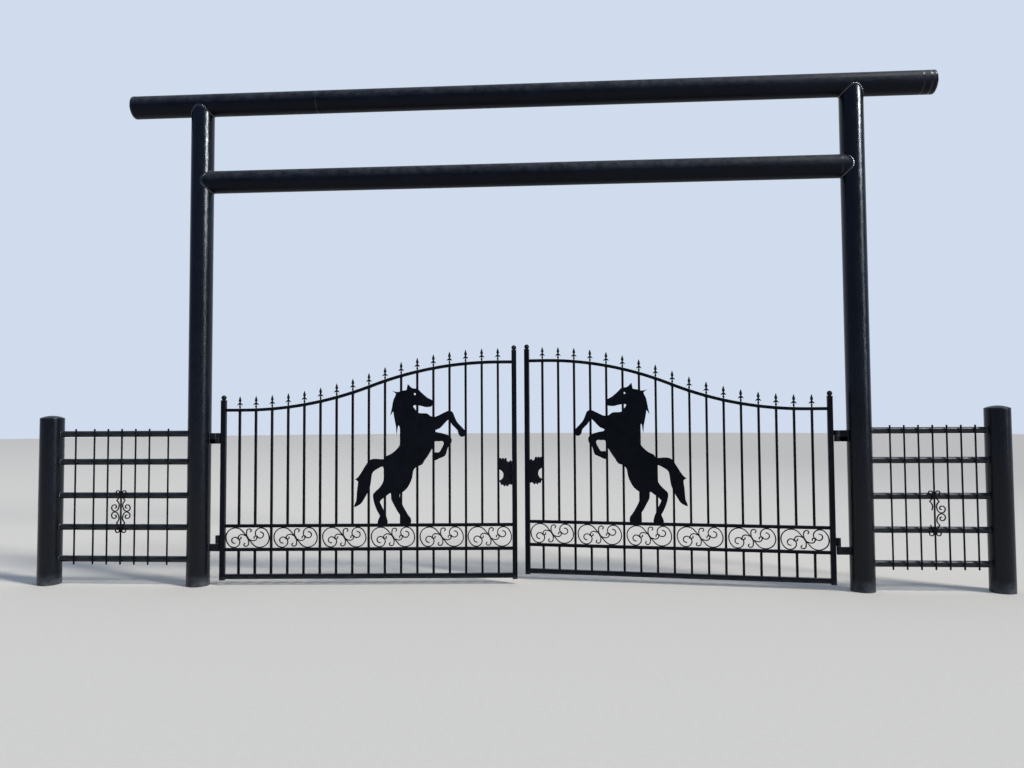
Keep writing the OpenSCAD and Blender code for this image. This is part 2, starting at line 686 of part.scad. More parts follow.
on_right_leaf() stile_caps(1);  // right_stile_caps
on_right_leaf() top_rail(1);  // right_top_rail
on_right_leaf() band_rails(1);  // right_band_rails
on_right_leaf() bottom_rail(1);  // right_bottom_rail
on_right_leaf() pickets(1);  // right_pickets
on_right_leaf() lower_pickets(1);  // right_lower_pickets
on_right_leaf() finials(1);  // right_finials
on_right_leaf() scrolls(1);  // right_scrolls
on_right_leaf() horse(1);  // right_horse
on_right_leaf() lock_plate(1);  // right_lock_plate
on_right_leaf() hinge_barrels();  // right_hinge_barrels
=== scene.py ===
from math import asin, cos, degrees, pi, radians, sin, sqrt

import bmesh
import bpy
from mathutils import Matrix, Vector, noise


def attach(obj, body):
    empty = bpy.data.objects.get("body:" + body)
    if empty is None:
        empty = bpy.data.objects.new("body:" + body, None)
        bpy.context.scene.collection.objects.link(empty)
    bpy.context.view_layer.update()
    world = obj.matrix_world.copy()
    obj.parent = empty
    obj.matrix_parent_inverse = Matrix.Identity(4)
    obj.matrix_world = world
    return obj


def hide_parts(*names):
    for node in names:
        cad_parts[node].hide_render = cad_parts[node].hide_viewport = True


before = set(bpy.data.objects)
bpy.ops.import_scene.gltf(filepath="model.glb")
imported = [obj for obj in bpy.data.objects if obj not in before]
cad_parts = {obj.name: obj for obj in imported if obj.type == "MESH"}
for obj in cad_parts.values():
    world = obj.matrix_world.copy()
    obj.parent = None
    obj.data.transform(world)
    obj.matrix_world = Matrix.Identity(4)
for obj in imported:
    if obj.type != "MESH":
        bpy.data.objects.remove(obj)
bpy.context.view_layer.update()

# Tall posts: two lengths of 219 mm steel pipe, sawn to a saddle at the top and set under the header.
# The pipe is brushed with black enamel: the brush leaves long upright marks that break up the light, and the
# foot is splashed by rain.
post_spacing = 6.315
pipe_r = 0.10955
header_z = 4.75
bite = 0.003  # how far a coped end runs into the pipe that it is welded to


def linear(code):
    """The linear colour of an sRGB hex code."""
    parts = [int(code[i : i + 2], 16) / 255 for i in (1, 3, 5)]
    return [p / 12.92 if p <= 0.04045 else ((p + 0.055) / 1.055) ** 2.4 for p in parts] + [1]


def add(tree, kind, inputs=None, settings=None):
    """Adds one shader node, with a value or a link for each input that is named, and its settings."""
    node = tree.nodes.new("ShaderNode" + kind)
    for name, value in (settings or {}).items():
        setattr(node, name, value)
    for name, value in (inputs or {}).items():
        if isinstance(value, bpy.types.NodeSocket):
            tree.links.new(value, node.inputs[name])
        else:
            node.inputs[name].default_value = value
    return node


def bare_tree(owner):
    """Empties the node tree of a material or of the world, and gives it back."""
    owner.use_nodes = True
    owner.node_tree.nodes.clear()
    return owner.node_tree


def black_enamel(name, dark, pale, marks, depth, sheen, gloss, dust_and_top_light=0.0, rust=0.0, splash=0.0):
    """Black enamel on steel. dark and pale are the ends of its colour; marks is how many brush marks a metre it has
    along X, Y and Z, and depth how deep they are; sheen is the range of its roughness and gloss its specular level;
    the amount of dust is how much grey is painted on what faces up: dust lying there, and also a painted paler sheen
    of the light that falls from above; rust shows through in specks, and splash is how high rain has thrown dirt."""
    material = bpy.data.materials.new(name)
    tree = bare_tree(material)
    colours = {"data_type": "RGBA"}  # a Mix node of colours: its factor goes in input 0, the colours in 6 and 7
    times_plus = {"operation": "MULTIPLY_ADD"}  # input 0 times input 1, plus input 2
    where = add(tree, "TexCoord")
    spot = where.outputs["Object"]
    along = add(tree, "Mapping", {"Vector": spot, "Scale": marks})
    brush = add(tree, "TexNoise", {"Vector": along.outputs[0], "Scale": 1.0, "Detail": 3.0, "Roughness": 0.6})
    # Patches about 400 mm across, where a second coat went on, and orange peel 5 mm across
    patch = add(tree, "TexNoise", {"Vector": spot, "Scale": 2.5, "Detail": 4.0})
    peel = add(tree, "TexNoise", {"Vector": spot, "Scale": 200.0, "Detail": 1.0})
    # Brush marks and patches count about the same in the colour and in the roughness
    brushed = add(tree, "Math", {0: brush.outputs[0], 1: 0.55, 2: 0.0}, times_plus)
    both = add(tree, "Math", {0: patch.outputs[0], 1: 0.45, 2: brushed.outputs[0]}, times_plus).outputs[0]
    tone = add(tree, "MapRange", {"Value": both, "From Min": 0.36, "From Max": 0.64}).outputs[0]
    colour = add(tree, "Mix", {0: tone, 6: linear(dark), 7: linear(pale)}, colours).outputs[2]
    rough = add(tree, "MapRange", {
        "Value": both, "From Min": 0.34, "From Max": 0.66, "To Min": sheen[0], "To Max": sheen[1]}).outputs[0]
    # Specks 12 mm across where rust comes through the coat
    if rust:
        fleck = add(tree, "TexNoise", {"Vector": spot, "Scale": 80.0, "Detail": 5.0, "Roughness": 0.65})
        spread = add(tree, "Math", {0: patch.outputs[0], 1: 0.35, 2: fleck.outputs[0]}, times_plus)
        shown = add(tree, "MapRange", {
            "Value": spread.outputs[0], "From Min": 0.92 - rust, "From Max": 0.98 - rust, "To Max": 0.8}).outputs[0]
        colour = add(tree, "Mix", {0: shown, 6: colour, 7: linear("#3d2417")}, colours).outputs[2]
        rough = add(tree, "Math", {0: shown, 1: 0.35, 2: rough}, {**times_plus, "use_clamp": True}).outputs[0]
    # Dust on what faces up, and rain splash near the ground, both broken up by a 60 mm cloud. The grey on what faces up
    # is also a painted paler sheen of the light from above, not only dust.
    top_cloud = add(tree, "TexNoise", {"Vector": spot, "Scale": 16.0, "Detail": 6.0, "Roughness": 0.6})
    up = add(tree, "SeparateXYZ", {0: where.outputs["Normal"]})
    dirt_and_top_light = add(tree, "MapRange", {
        "Value": up.outputs[2], "From Min": -0.1, "From Max": 1.0, "To Max": dust_and_top_light}).outputs[0]
    if splash:
        high = add(tree, "SeparateXYZ", {0: spot})
        foot = add(tree, "MapRange", {
            "Value": high.outputs[2], "From Min": 0.0, "From Max": splash, "To Min": 0.55, "To Max": 0.0}).outputs[0]
        dirt_and_top_light = add(tree, "Math", {0: dirt_and_top_light, 1: foot}, {"operation": "MAXIMUM"}).outputs[0]
    cloud = add(tree, "MapRange", {
        "Value": top_cloud.outputs[0], "From Min": 0.35, "From Max": 0.65, "To Min": 0.25}).outputs[0]
    painted_top_light_and_dirt = add(tree, "Math", {0: dirt_and_top_light, 1: cloud}, {"operation": "MULTIPLY"}).outputs[0]
    colour = add(tree, "Mix", {0: painted_top_light_and_dirt, 6: colour, 7: linear("#676a6b")}, colours).outputs[2]
    rough = add(tree, "Math", {0: painted_top_light_and_dirt, 1: 0.5, 2: rough}, {**times_plus, "use_clamp": True}).outputs[0]
    fine = add(tree, "Bump", {"Strength": 1.0, "Distance": 0.00006, "Height": peel.outputs[0]})
    relief = add(tree, "Bump", {
        "Strength": 1.0, "Distance": depth, "Height": brush.outputs[0], "Normal": fine.outputs[0]})
    coat = add(tree, "BsdfPrincipled", {
        "Base Color": colour, "Roughness": rough, "Specular IOR Level": gloss, "IOR": 1.5, "Normal": relief.outputs[0]})
    add(tree, "OutputMaterial", {"Surface": coat.outputs[0]})
    return material


def tube(bm, radius, low, high, segments=96):
    """Adds an upright pipe's outside, closed at both ends, and gives back its vertices."""
    verts = bmesh.ops.create_cone(bm, cap_ends=True, segments=segments, radius1=radius, radius2=radius,
                                  depth=high - low)["verts"]
    bmesh.ops.translate(bm, vec=(0, 0, (low + high) / 2), verts=verts)
    return verts


def put(name, data):
    """Puts a mesh, a lamp or the camera in the scene, and gives back its object."""
    thing = bpy.data.objects.new(name, data)
    bpy.context.scene.collection.objects.link(thing)
    return thing


def finish(name, bm, material, place=None, sharp=40):
    """Makes an object of a bmesh: doubles merged, faces pointing outwards, and smooth except at edges where the
    faces turn by more than sharp degrees."""
    if place:
        bmesh.ops.transform(bm, matrix=place, verts=bm.verts)
    bmesh.ops.remove_doubles(bm, verts=bm.verts, dist=1e-6)
    bmesh.ops.recalc_face_normals(bm, faces=bm.faces)
    for face in bm.faces:
        face.smooth = True
    for edge in bm.edges:
        if edge.calc_face_angle(0) > radians(sharp):
            edge.smooth = False
    mesh = bpy.data.meshes.new(name)
    bm.to_mesh(mesh)
    bm.free()
    mesh.materials.append(material)
    return put(name, mesh)


# Black gloss enamel, brushed up and down: laps 14 mm wide and 70 mm long that break a highlight into specks
post_paint = black_enamel("brushed_black_enamel_upright", "#030509", "#090d16", marks=(70, 70, 14), depth=0.0016,
                          sheen=(0.18, 0.3), gloss=0.25, dust_and_top_light=0.12, rust=0.01, splash=0.12)
horn = 0.036  # how far the blunted horns of a saddle stop short of the other pipe's centre line


def saddle(across, radius):
    """How far from the other pipe's centre line a coped rim lies: on that pipe's round, rounded off at the horns."""
    return (max(0, radius ** 2 - across ** 2) ** 2 + horn ** 4) ** 0.25


for side, x in (("left", 0), ("right", post_spacing)):
    bm = bmesh.new()
    for vert in tube(bm, pipe_r, 0, header_z):
        if vert.co.z > header_z / 2:
            vert.co.z = header_z - saddle(vert.co.y, pipe_r - bite)
    post = finish(f"tall_post_{side}", bm, post_paint, Matrix.Translation((x, 0, 0)))
    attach(post, "gateway")
    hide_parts(f"{side}_post")

# Header: lengths of the same pipe, butt welded end to end, laid on the posts and run on past them.
# Its brush marks run along it, and its upper side is painted paler grey: dust settled there, and a painted sheen of the
# light from above.
header_from, header_to = -0.697, 7.065
along_x = Matrix.Rotation(pi / 2, 4, "Y")


def laid(z):
    """Lays what was made upright along X, at a height."""
    return Matrix.Translation((0, 0, z)) @ along_x


# The same enamel brushed lengthwise: satin, and greyer along the top, with dust and a painted sheen of the light from
# above
beam_paint = black_enamel("brushed_black_enamel_level", "#02040b", "#070c18", marks=(12, 60, 60), depth=0.0008,
                          sheen=(0.36, 0.52), gloss=0.12, dust_and_top_light=0.38, rust=0.01)
bm = bmesh.new()
tube(bm, pipe_r, header_from, header_to)
header = finish("header_pipe", bm, beam_paint, laid(header_z))
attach(header, "gateway")
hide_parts("header_beam")

# End plates: two 8 mm steel discs that close the header. They are welded on all round, and their rim is ground to
# a soft edge.
plate_t = 0.008

# Enamel over a ground steel plate: flatter than on the pipe, with a few specks of rust
plate_paint = black_enamel("black_enamel_on_ground_plate", "#03050d", "#0a101c", marks=(30, 30, 30), depth=0.0002,
                           sheen=(0.22, 0.38), gloss=0.2, dust_and_top_light=0.2, rust=0.03)


def sharp_edges(edges):
    """Of these edges, the ones where the faces turn by more than 1 radian."""
    return [e for e in edges if e.calc_face_angle(0) > 1]


def soften(bm, edges, width, steps=1):
    """Bevels edges, and keeps the flats beside a rounded one flat."""
    made = bmesh.ops.bevel(bm, geom=list(edges), offset=width, offset_type="OFFSET", segments=steps, profile=0.5,
                           affect="EDGES", material=-1)
    new = set(made["faces"])
    if steps > 1:
        for face in new:
            for edge in face.edges:
                if any(other not in new for other in edge.link_faces):
                    edge.smooth = False


bm = bmesh.new()
for x in (header_from - plate_t, header_to):
    tube(bm, pipe_r, x, x + plate_t)
soften(bm, sharp_edges(bm.edges), width=0.002, steps=2)
ends = finish("header_end_plates", bm, plate_paint, laid(header_z))
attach(ends, "gateway")
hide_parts("header_end_caps")

# Cross beam: a long and a short length of the pipe, butt welded just inside the right post, and fish-mouthed at
# both ends to fit round the posts.
cross_z = 3.97
bm = bmesh.new()
for vert in tube(bm, pipe_r, 0, post_spacing):
    into = saddle(vert.co.y, pipe_r - bite)
    vert.co.z = into if vert.co.z < post_spacing / 2 else post_spacing - into
beam = finish("cross_beam_pipe", bm, beam_paint, laid(cross_z))
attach(beam, "gateway")
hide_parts("cross_beam")

# Main welds: a rippled bead of weld metal round each joint of the portal, brushed over with the same enamel.
# The girth welds of the header and the cross beam are ground nearly flat.


def lay_bead(bm, path, width, ripple, closed=True):
    """Adds a run of weld along a path: a line of weld metal that swells at each ripple and wanders in width."""
    curve = bpy.data.curves.new("bead", "CURVE")
    curve.dimensions = "3D"
    curve.bevel_depth = width / 2
    curve.bevel_resolution = 1
    curve.use_fill_caps = not closed
    line = curve.splines.new("POLY")
    line.points.add(len(path) - 1)
    line.use_cyclic_u = closed
    swell = 0.13 * min(1, 0.012 / width)  # less in a bead wider than 12 mm, and the wander past 20 mm
    wander = 0.18 * min(1, 0.02 / width)
    gone = 0
    for i, at in enumerate(path):
        gone += (Vector(at) - Vector(path[i - 1])).length if i else 0
        line.points[i].co = (*at, 1)
        line.points[i].radius = 1 + swell * cos(2 * pi * gone / ripple) + wander * noise.noise(Vector(at) * 40)
    run = bpy.data.objects.new("bead", curve)
    mesh = bpy.data.meshes.new_from_object(run)
    bm.from_mesh(mesh)
    bpy.data.objects.remove(run)
    bpy.data.curves.remove(curve)
    bpy.data.meshes.remove(mesh)


# Enamel over weld metal: thick and shiny on the ripples, so that it glints, with specks of rust
weld_paint = black_enamel("black_enamel_over_weld", "#04070f", "#0c1320", marks=(90, 90, 90), depth=0.0008,
                          sheen=(0.16, 0.28), gloss=0.7, dust_and_top_light=0.12, rust=0.03)
weld_points = 330  # round a joint, 2 mm apart
turns = [2 * pi * i / weld_points for i in range(weld_points)]
main_bead = {"width": 0.040, "ripple": 0.012}
sunk_by = 0.013


def sunk(point, one, other):
    """A point of a joint, moved into the steel against the outward directions of its two pipes. A wide bead laid
    that deep shows as a low flat weld."""
    return Vector(point) - sunk_by * (Vector(one) + Vector(other)).normalized()


bm = bmesh.new()
for x, inward in ((0, 1), (post_spacing, -1)):
    path = []
    for c, y in ((cos(t), sin(t)) for t in turns):
        up = saddle(pipe_r * y, pipe_r)
        path.append(sunk((x + pipe_r * c, pipe_r * y, header_z - up), (c, y, 0), (0, y, -up / pipe_r)))
    lay_bead(bm, path, **main_bead)
    path = []
    for y, z in ((cos(t), sin(t)) for t in turns):
        aside = inward * saddle(pipe_r * y, pipe_r)
        path.append(sunk((x + aside, pipe_r * y, cross_z + pipe_r * z), (aside / pipe_r, y, 0), (0, y, z)))
    lay_bead(bm, path, **main_bead)
for vert in bm.verts:
    vert.co.y = max(vert.co.y, -pipe_r)  # ground flush at the front
joints = finish("portal_welds", bm, weld_paint, sharp=70)
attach(joints, "gateway")

# Enamel over ground weld metal: as dark as the pipe's, but smooth enough to catch the light on its upper side
ground_paint = black_enamel("black_enamel_over_ground_weld", "#02040b", "#0a0f1a", marks=(60, 60, 60), depth=0.0003,
                            sheen=(0.18, 0.28), gloss=0.35, dust_and_top_light=0.38, rust=0.02)
girth_welds = (  # the place along its beam, the beam's height and the width of each
    (header_from + 0.002, header_z, 0.018), (1.174, header_z, 0.014), (6.949, header_z, 0.014),
    (7.022, header_z, 0.024), (header_to - 0.002, header_z, 0.018), (6.192, cross_z, 0.014))
girth_proud = 0.0006  # of a ground weld over its pipe
bm = bmesh.new()
for x, z, width in girth_welds:
    seam = tube(bm, pipe_r + girth_proud, x - width / 2, x + width / 2)
    bmesh.ops.transform(bm, matrix=laid(z), verts=seam)
for vert in bm.verts:
    vert.co.x += 0.003 * noise.noise(vert.co * 60)  # its edges wander by up to 3 mm
    vert.co.z = min(vert.co.z, header_z + pipe_r)  # ground flush along the top and the front
    vert.co.y = max(vert.co.y, -pipe_r)
seams = finish("girth_welds", bm, ground_paint, sharp=70)
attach(seams, "gateway")

# End posts: short lengths of the pipe that end the wings, each closed by a pressed steel cap with a low dome.
# The cap is welded on with a thin bead.
wing_ends = {"left": (-1.51, 1.626), "right": (post_spacing + 1.243, 1.668)}  # place and height

# The caps' enamel: pressed steel, smooth, with grey dust and a painted paler sheen on the dome
cap_paint = black_enamel("black_enamel_on_pressed_cap", "#04070f", "#0b111d", marks=(18, 18, 18), depth=0.0003,
                         sheen=(0.26, 0.42), gloss=0.2, dust_and_top_light=0.16, rust=0.03)


def spun(bm, outline, segments):
    """Spins an outline of (radius, height) points into a closed round solid on the Z axis."""
    verts = [bm.verts.new((r, 0, z)) for r, z in outline]
    edges = [bm.edges.new(pair) for pair in zip(verts, verts[1:])]
    bmesh.ops.spin(bm, geom=verts + edges, cent=(0, 0, 0), axis=(0, 0, 1), angle=2 * pi, steps=segments,
                   use_merge=True, use_duplicate=False)
    bmesh.ops.remove_doubles(bm, verts=bm.verts, dist=1e-6)


cap_rim, dome_h = 0.008, 0.025
dome_r = (pipe_r ** 2 + dome_h ** 2) / (2 * dome_h)
dome = [(r, cap_rim + dome_h - dome_r + sqrt(dome_r ** 2 - r ** 2)) for r in (pipe_r * i / 12 for i in range(12))]
shoulder = [(pipe_r - 0.003, cap_rim + 0.0012), (pipe_r, cap_rim - 0.0025)]  # rolled over, where the dome ends
seam_r = pipe_r - 0.0024
for side, (x, tall) in wing_ends.items():
    bm = bmesh.new()
    tube(bm, pipe_r, 0, tall)
    short = finish(f"end_post_{side}", bm, post_paint, Matrix.Translation((x, 0, 0)))
    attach(short, "gateway")
    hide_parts(f"{side}_end_post")

    bm = bmesh.new()
    spun(bm, dome + shoulder + [(pipe_r, 0), (0, 0)], segments=96)
    cap = finish(f"end_post_cap_{side}", bm, cap_paint, Matrix.Translation((x, 0, tall)))
    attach(cap, "gateway")
    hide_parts(f"{side}_end_post_cap")

    bm = bmesh.new()
    lay_bead(bm, [(x + seam_r * cos(t), seam_r * sin(t), tall) for t in turns], width=0.006, ripple=0.005)
    for vert in bm.verts:  # ground flush at the front and on the outer side
        vert.co.x = max(vert.co.x, x - pipe_r) if side == "left" else min(vert.co.x, x + pipe_r)
        vert.co.y = max(vert.co.y, -pipe_r)
    rim = finish(f"cap_weld_{side}", bm, weld_paint, sharp=70)
    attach(rim, "gateway")

# Wing rails: five 60 mm steel pipes on each side, from the tall post to the end post. Their ends are coped to the
# posts' round and welded all round.
rail_r = 0.03015
rail_heights = (0.25, 0.56, 0.87, 1.2, 1.475)
rail_in = 0.1  # a rail stops this far from a post's centre line, hidden inside the post
rail_turns = [2 * pi * i / 84 for i in range(84)]

# Enamel brushed along thin pipe: finer marks than on the portal, dust and a painted paler sheen along the top
rail_paint = black_enamel("brushed_black_enamel_on_rail_pipe", "#040508", "#0a0d13", marks=(5, 120, 120), depth=0.0003,
                          sheen=(0.2, 0.34), gloss=0.4, dust_and_top_light=0.22, rust=0.03, splash=0.12)


def post_face(y):
    """How far from its post's centre line a post's surface lies, at a depth y."""
    return sqrt(pipe_r ** 2 - y ** 2)


for side, low, high in (("left", wing_ends["left"][0], 0), ("right", post_spacing, wing_ends["right"][0])):
    bm = bmesh.new()
    welds = bmesh.new()
    for z in rail_heights:
        rail = tube(bm, rail_r, low + rail_in, high - rail_in, segments=40)
        bmesh.ops.transform(bm, matrix=laid(z), verts=rail)
        for post_x, inward in ((low, 1), (high, -1)):
            path = []
            for y, up in ((rail_r * cos(t), rail_r * sin(t)) for t in rail_turns):
                path.append((post_x + inward * post_face(y), y, z + up))
            lay_bead(welds, path, width=0.014, ripple=0.008)
    rails = finish(f"wing_rails_{side}_pipes", bm, rail_paint)
    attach(rails, "gateway")
    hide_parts(f"{side}_wing_rails")
    beads = finish(f"wing_rail_welds_{side}", welds, weld_paint, sharp=70)
    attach(beads, "gateway")

# Wing pickets: seven 13 mm square bars on each wing, of hot-rolled steel, their sawn ends left plain. They are
# tacked to the front of the rails on both sides.
wing_bar = 0.013
wing_bar_foot, wing_bar_top = 0.2, 1.525
gap = 0.0002  # left between bars of two nodes that are welded together, so that they don't overlap
wing_front = rail_r + gap
wings = {  # the middle picket, and the places of all seven from it
    "left": (wing_ends["left"][0] / 2 - 0.013, [-0.471, -0.28, -0.14, 0, 0.14, 0.28, 0.471]),
    "right": ((post_spacing + wing_ends["right"][0]) / 2 + 0.021, [0.127 * i for i in range(-3, 4)]),
}
tack_size = (0.0035, 0.0045, 0.010)  # half its width, depth and height

# Enamel on hot-rolled square bar: dull over the scale, with a few specks of rust
bar_paint = black_enamel("black_enamel_on_rolled_bar", "#030408", "#080a10", marks=(90, 90, 6), depth=0.0003,
                         sheen=(0.34, 0.52), gloss=0.08, dust_and_top_light=0.16, rust=0.03, splash=0.1)


def edges_of(verts):
    """The edges at these vertices."""
    return {e for v in verts for e in v.link_edges}


def square_bar(bm, low, high, edge=0.0012):
    """Adds a bar between two corners, its long edges and ends eased."""
    low, high = Vector(low), Vector(high)
    verts = bmesh.ops.create_cube(bm, size=1)["verts"]
    bmesh.ops.scale(bm, vec=high - low, verts=verts)
    bmesh.ops.translate(bm, vec=(low + high) / 2, verts=verts)
    soften(bm, edges_of(verts), edge)


def tack(bm, at, size):
    """Adds a blob of weld metal."""
    verts = bmesh.ops.create_uvsphere(bm, u_segments=8, v_segments=5, radius=1)["verts"]
    for vert in verts:
        vert.co *= 1 + 0.25 * noise.noise(vert.co * 1.7 + Vector(at) * 90)
    bmesh.ops.scale(bm, vec=size, verts=verts)
    bmesh.ops.translate(bm, vec=at, verts=verts)


for side, (middle, places) in wings.items():
    bm = bmesh.new()
    tacks = bmesh.new()
    for x in (middle + p for p in places):
        square_bar(bm, (x - wing_bar / 2, -wing_front - wing_bar, wing_bar_foot),
                   (x + wing_bar / 2, -wing_front, wing_bar_top))
        for z in rail_heights:
            for out in (-1, 1):
                tack(tacks, (x + out * wing_bar / 2, -wing_front + 0.001, z), tack_size)
    bars = finish(f"wing_pickets_{side}_bars", bm, bar_paint)
    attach(bars, "gateway")
    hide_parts(f"{side}_wing_pickets")
    blobs = finish(f"wing_picket_tacks_{side}", tacks, weld_paint, sharp=70)
    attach(blobs, "gateway")

# Wing ornaments: 10 mm square bar bent cold into C scrolls and curled legs, collared to the middle picket.
# On the right wing the scrolls on the tall post's side have broken off, and left one stub.
scroll_bar = 0.01

# Enamel on bent bar: thin and dull, with brown specks of rust, so the scrolls look warmer than the bars
scroll_paint = black_enamel("thin_black_enamel_on_bent_bar", "#080708", "#14100e", marks=(90, 90, 90), depth=0.0002,
                            sheen=(0.36, 0.55), gloss=0.12, dust_and_top_light=0.18, rust=0.09)


def bent_bar(bm, side, start, heading, bends, edge=0.001, step=9):
    """Adds a square bar bent in the XZ plane from a start (x, z) along a heading in degrees. Each bend is (radius,
    turn), a turn to the left being positive, or (length, 0) for a straight. edge is how much the corners are eased,
    and step the degrees from one cross-section to the next."""
    # A square with its corners cut, which is drawn along the bends
    face = bmesh.ops.create_grid(bm, x_segments=1, y_segments=1, size=side / 2)["verts"]
    corners = bmesh.ops.bevel(bm, geom=face, offset=edge, offset_type="OFFSET", segments=1, profile=0.5,
                              affect="VERTICES", material=-1)["verts"]
    face = max({f for v in face if v.is_valid for f in v.link_faces} | {f for v in corners for f in v.link_faces},
               key=lambda f: f.calc_area())
    h = radians(heading)
    place = Matrix(((-sin(h), 0, cos(h), start[0]), (0, -1, 0, 0), (cos(h), 0, sin(h), start[1]), (0, 0, 0, 1)))
    bmesh.ops.transform(bm, matrix=place, verts=face.verts)
    at = Vector((start[0], 0, start[1]))
    geom = [face]
    for size, turn in bends:
        if turn:
            left = Vector((-sin(h), 0, cos(h))) * (1 if turn > 0 else -1)
            centre = at + left * size
            steps = max(1, round(abs(turn) / step))
            made = bmesh.ops.spin(bm, geom=geom, cent=centre, axis=(0, -1, 0), angle=radians(turn), steps=steps)
            at = centre + Matrix.Rotation(radians(turn), 3, (0, -1, 0)) @ (at - centre)
            h += radians(turn)
        else:
            run = Vector((cos(h), 0, sin(h))) * size
            made = bmesh.ops.spin(bm, geom=geom, cent=(0, 0, 0), axis=(0, -1, 0), dvec=run, angle=0, steps=1)
            at += run
        if geom[0] is not face:  # the end of the last bend lies inside the bar now
            bmesh.ops.delete(bm, geom=geom, context="FACES_ONLY")
        geom = [f for f in made["geom_last"] if isinstance(f, bmesh.types.BMFace)]


def join(bm, part):
    """Adds one bmesh to another and frees it."""
    mesh = bpy.data.meshes.new("part")
    part.to_mesh(mesh)
    part.free()
    bm.from_mesh(mesh)
    bpy.data.meshes.remove(mesh)


ornament_z = (rail_heights[1] + rail_heights[2]) / 2
# One quarter starts at its barb: a C scroll falls to the middle and curls into a ring, and a leg curls at its end
barb_at = (0.0427, 0.107)
fall = [(0.053, 58), (0.078, 26)]
curl_ring = [(0.078, 4), (0.0375, 60), (0.033, 90), (0.029, 90), (0.02, 90), (0.012, 120)]
leg = [(0.3, -8), (0.022, -36), (0.4, -5), (0.019, -190), (0.01, -110)]
ring_x = 0.0605
tie_half = 0.007  # half the size of the tie that holds two rings together
collar_z, collar_half = 0.152, 0.007
proud = 0.002  # of a collar over the bars that it holds
wide = wing_bar / 2 + scroll_bar + proud
for side, (middle, _) in wings.items():
    bm = bmesh.new()
    for flip in (1, -1):
        cut = side == "right" and flip == -1
        for over in (1, -1):
            part = bmesh.new()
            if not (cut and over == -1):
                bent_bar(part, scroll_bar, barb_at, 212, fall if cut else fall + curl_ring)
            bent_bar(part, scroll_bar, barb_at, 134, leg)
            bmesh.ops.transform(part, matrix=Matrix.Diagonal((flip, 1, over, 1)), verts=part.verts)
            join(bm, part)
        if not cut:
            square_bar(bm, (flip * ring_x - tie_half, -tie_half, -tie_half),
                       (flip * ring_x + tie_half, tie_half, tie_half))
    for z in (collar_z, -collar_z):
        # A collar is a strap bent round the picket and both legs: a front and two sides
        low, high, front = z - collar_half, z + collar_half, -wing_bar / 2 - proud
        square_bar(bm, (-wide, front, low), (wide, -wing_bar / 2 - gap, high), edge=0.0006)
        for out in (-1, 1):
            near, far = sorted((out * wide, out * (wing_bar / 2 + gap)))
            square_bar(bm, (near, front + 0.0001, low), (far, scroll_bar / 2, high))
    scrolls = finish(f"wing_ornament_{side}", bm, scroll_paint,
                     Matrix.Translation((middle, -wing_front - wing_bar / 2, ornament_z)))
    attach(scrolls, "gateway")
    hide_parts(f"{side}_wing_scroll")

# Hinges: thick barrel hinges turned from bar. The fixed half stands on an arm welded to the post and carries
# the pin; the moving half turns on it, on a steel washer, and its tab is welded to the stile.
axis_x = {"left": 0.19155, "right": 0.20955}  # the pins' distance from the post's centre line
axis_to_stile = 0.05  # to the stile's centre line
barrel_r = 0.02
lower_hinge, upper_hinge = (0.330, 0.076), (1.375, 0.052)  # foot, and the length of one half
arm_half, tab_half = 0.018, 0.006  # half the width of an arm and of a tab
washer_t = 0.0015
stile_half = 0.024  # half the width of the square tube that the tab is welded to
at_post = {
    "left": Matrix.Identity(4),
    "right": Matrix.Translation((post_spacing, 0, 0)) @ Matrix.Scale(-1, 4, (1, 0, 0)),
}
on_leaf = {}
for side, ajar in (("left", 3.4), ("right", 7.9)):
    on_leaf[side] = (at_post[side] @ Matrix.Translation((axis_x[side], 0, 0)) @ Matrix.Rotation(radians(ajar), 4, "Z")
                     @ Matrix.Translation((axis_to_stile, 0, 0)))

# Enamel worn by the swing: rubbed thin and satin, with specks of rust and the fine rings of turning
hinge_paint = black_enamel("rubbed_black_enamel_on_turned_steel", "#04060b", "#0c0f16", marks=(20, 20, 160),
                           depth=0.0002, sheen=(0.3, 0.5), gloss=0.18, dust_and_top_light=0.2, rust=0.08)
# Bare washer steel: the one bright line in the hinge, brown with old grease
washer_steel = bpy.data.materials.new("greasy_turned_steel")
tree = bare_tree(washer_steel)
spot = add(tree, "TexCoord").outputs["Object"]
film = add(tree, "TexNoise", {"Vector": spot, "Scale": 140.0, "Detail": 4.0})
tint = add(tree, "Mix", {0: film.outputs[0], 6: linear("#6b5a45"), 7: linear("#a8a49c")}, {"data_type": "RGBA"})
grease = add(tree, "MapRange", {"Value": film.outputs[0], "To Min": 0.2, "To Max": 0.5})
steel = add(tree, "BsdfPrincipled", {"Base Color": tint.outputs[2], "Roughness": grease.outputs[0], "Metallic": 1.0})
add(tree, "OutputMaterial", {"Surface": steel.outputs[0]})

